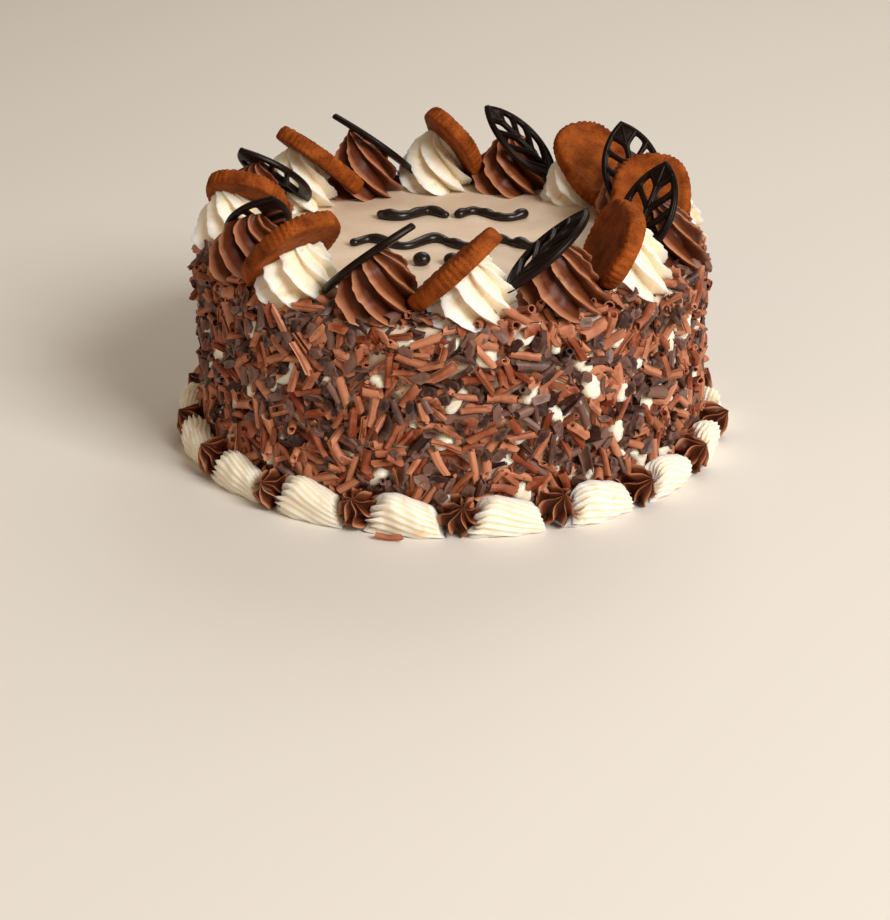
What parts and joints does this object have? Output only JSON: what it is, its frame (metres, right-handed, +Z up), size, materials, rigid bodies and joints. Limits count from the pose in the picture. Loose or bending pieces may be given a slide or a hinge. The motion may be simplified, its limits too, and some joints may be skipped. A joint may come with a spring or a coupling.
{
  "type": "layer cake",
  "caption": "Round cream cake coated in chocolate curls, ringed on top with piped rosettes carrying oval biscuits and chocolate leaves, with a piped shell and star border at its foot.",
  "frame": {"origin": "middle of the flat underside, on the surface the cake stands on", "axes": "+Z up; -Y is the front, the side seen in the picture; +X is to the right of one who faces the front"},
  "size_m": [0.295, 0.2922, 0.1493],
  "materials": {
    "cream": "soft piped and spread cream, off-white, slightly glossy on its ridges",
    "chocolate_cream": "piped chocolate cream, mid brown with a soft sheen",
    "chocolate_curls": "milk and dark chocolate curls and shards pressed into cream",
    "biscuit": "baked caramel-brown biscuit, dry and finely pitted",
    "dark_chocolate": "set dark chocolate, smooth with a dull gloss"
  },
  "bodies": {
    "root": {"cake_body": "cream", "curl_coat": "chocolate_curls", "cream_rosette_1": "cream", "cream_rosette_2": "cream", "cream_rosette_3": "cream", "cream_rosette_4": "cream", "cream_rosette_5": "cream", "cream_rosette_6": "cream", "cream_rosette_7": "cream", "cream_rosette_8": "cream", "chocolate_rosette_1": "chocolate_cream", "chocolate_rosette_2": "chocolate_cream", "chocolate_rosette_3": "chocolate_cream", "chocolate_rosette_4": "chocolate_cream", "chocolate_rosette_5": "chocolate_cream", "chocolate_rosette_6": "chocolate_cream", "chocolate_rosette_7": "chocolate_cream", "chocolate_rosette_8": "chocolate_cream", "biscuit_1": "biscuit", "biscuit_2": "biscuit", "biscuit_3": "biscuit", "biscuit_4": "biscuit", "biscuit_5": "biscuit", "biscuit_6": "biscuit", "biscuit_7": "biscuit", "biscuit_8": "biscuit", "leaf_1": "dark_chocolate", "leaf_2": "dark_chocolate", "leaf_3": "dark_chocolate", "leaf_4": "dark_chocolate", "leaf_5": "dark_chocolate", "leaf_6": "dark_chocolate", "leaf_7": "dark_chocolate", "leaf_8": "dark_chocolate", "border_1": "cream", "border_2": "cream", "border_3": "cream", "border_4": "cream", "border_5": "cream", "border_6": "cream", "border_7": "cream", "border_8": "cream", "border_9": "cream", "border_10": "cream", "border_11": "cream", "border_12": "cream", "border_13": "cream", "border_14": "cream", "border_15": "cream", "border_16": "cream", "border_17": "cream", "border_18": "cream", "scroll_left": "dark_chocolate", "scroll_right": "dark_chocolate", "wave": "dark_chocolate", "bead_1": "dark_chocolate", "bead_2": "dark_chocolate", "bead_3": "dark_chocolate"}
  },
  "joints": []
}
